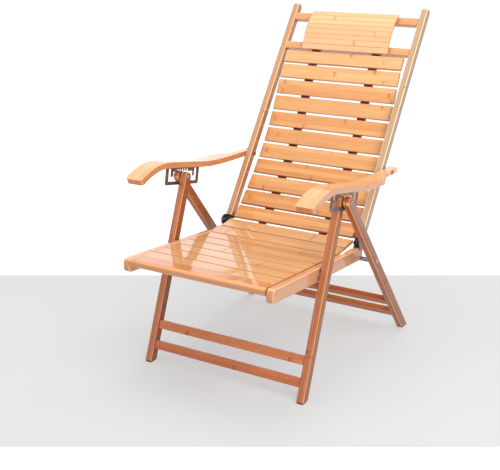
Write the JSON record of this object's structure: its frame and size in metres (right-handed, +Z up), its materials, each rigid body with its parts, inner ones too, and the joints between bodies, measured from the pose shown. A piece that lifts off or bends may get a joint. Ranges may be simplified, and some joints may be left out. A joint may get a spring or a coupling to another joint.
{
  "type": "folding reclining chair",
  "caption": "Folding recliner of lacquered bamboo: slatted seat and curved slatted back with a headrest, arched armrests on adjuster racks, crossed legs with stretchers.",
  "frame": {"origin": "middle of the chair's footprint, on the floor", "axes": "+X to the right of a viewer who looks from the front to the back, +Y from the front to the back, +Z up"},
  "size_m": [0.574, 0.9507, 0.9581],
  "materials": {
    "frame_bamboo": "lacquered, glossy, fine long grain",
    "back_bamboo": "lacquered strips with node marks",
    "seat_bamboo": "lacquered, high gloss",
    "galvanised_steel": "pressed plate, dull zinc",
    "zinc_steel": "zinc plated",
    "black_plastic": "satin black"
  },
  "bodies": {
    "front_frame": {"apex_bolts": "zinc_steel", "apex_nuts": "zinc_steel", "front_foot_pads": "black_plastic", "front_leg_left": "frame_bamboo", "front_leg_right": "frame_bamboo", "front_stretcher_lower": "frame_bamboo", "front_stretcher_upper": "frame_bamboo", "seat_pivot_bolts": "zinc_steel", "seat_pivot_washers": "zinc_steel"},
    "seat": {"hinge_ears": "black_plastic", "seat_battens": "frame_bamboo", "seat_cross_bar_front": "frame_bamboo", "seat_cross_bar_rear": "frame_bamboo", "seat_front_rail": "frame_bamboo", "seat_rail_left": "frame_bamboo", "seat_rail_right": "frame_bamboo", "seat_slat_1": "seat_bamboo", "seat_slat_2": "seat_bamboo", "seat_slat_3": "seat_bamboo", "seat_slat_4": "seat_bamboo", "seat_slat_5": "seat_bamboo", "seat_slat_6": "seat_bamboo", "seat_slat_7": "seat_bamboo", "seat_slat_8": "seat_bamboo"},
    "knuckles": {"hinge_bolts": "zinc_steel"},
    "back": {"back_battens": "frame_bamboo", "back_bottom_rail": "frame_bamboo", "back_second_rail": "frame_bamboo", "back_slat_1": "back_bamboo", "back_slat_10": "back_bamboo", "back_slat_11": "back_bamboo", "back_slat_2": "back_bamboo", "back_slat_3": "back_bamboo", "back_slat_4": "back_bamboo", "back_slat_5": "back_bamboo", "back_slat_6": "back_bamboo", "back_slat_7": "back_bamboo", "back_slat_8": "back_bamboo", "back_slat_9": "back_bamboo", "back_stile_left": "frame_bamboo", "back_stile_right": "frame_bamboo", "back_top_rail": "frame_bamboo", "headrest_ribs": "back_bamboo", "headrest_strips": "back_bamboo", "stile_shoes": "black_plastic"},
    "arm_bolts": {"arm_bolts": "zinc_steel", "arm_nuts": "zinc_steel", "arm_washers": "zinc_steel"},
    "armrests": {"armrest_left": "frame_bamboo", "armrest_right": "frame_bamboo", "rack_left": "galvanised_steel", "rack_right": "galvanised_steel", "rack_screws": "zinc_steel"},
    "rear_frame": {"hook_bolts": "zinc_steel", "hook_sleeves": "zinc_steel", "rear_foot_pads": "black_plastic", "rear_leg_left": "frame_bamboo", "rear_leg_right": "frame_bamboo", "rear_stretcher_lower": "frame_bamboo", "rear_stretcher_upper": "frame_bamboo"}
  },
  "joints": [
    {"name": "seat_fold", "type": "hinge", "parent": "front_frame", "child": "seat", "pos_m": [0, -0.22428, 0.31648], "axis": [1, 0, 0], "range_deg": [0, 60]},
    {"name": "knuckle_fold", "type": "hinge", "parent": "seat", "child": "knuckles", "pos_m": [0, 0.03332, 0.33049], "axis": [1, 0, 0], "range_deg": [-50, 0]},
    {"name": "recline", "type": "hinge", "parent": "knuckles", "child": "back", "pos_m": [0, 0.03332, 0.33049], "axis": [1, 0, 0], "range_deg": [-9, 8]},
    {"name": "arm_bolt_turn", "type": "hinge", "parent": "back", "child": "arm_bolts", "pos_m": [0, 0.17268, 0.514], "axis": [1, 0, 0], "range_deg": [-4, 5]},
    {"name": "armrest_fold", "type": "hinge", "parent": "arm_bolts", "child": "armrests", "pos_m": [0, 0.17268, 0.514], "axis": [1, 0, 0], "range_deg": [0, 45]},
    {"name": "rear_leg_fold", "type": "hinge", "parent": "front_frame", "child": "rear_frame", "pos_m": [0, -0.15332, 0.504], "axis": [1, 0, 0], "range_deg": [-55.5, 0]}
  ],
  "couplings": [
    {"joint": "knuckle_fold", "follows": "seat_fold", "ratio": -0.8167},
    {"joint": "armrest_fold", "follows": "seat_fold", "ratio": 0.7473},
    {"joint": "rear_leg_fold", "follows": "seat_fold", "ratio": -0.91667},
    {"joint": "arm_bolt_turn", "follows": "recline", "ratio": -0.4607}
  ]
}
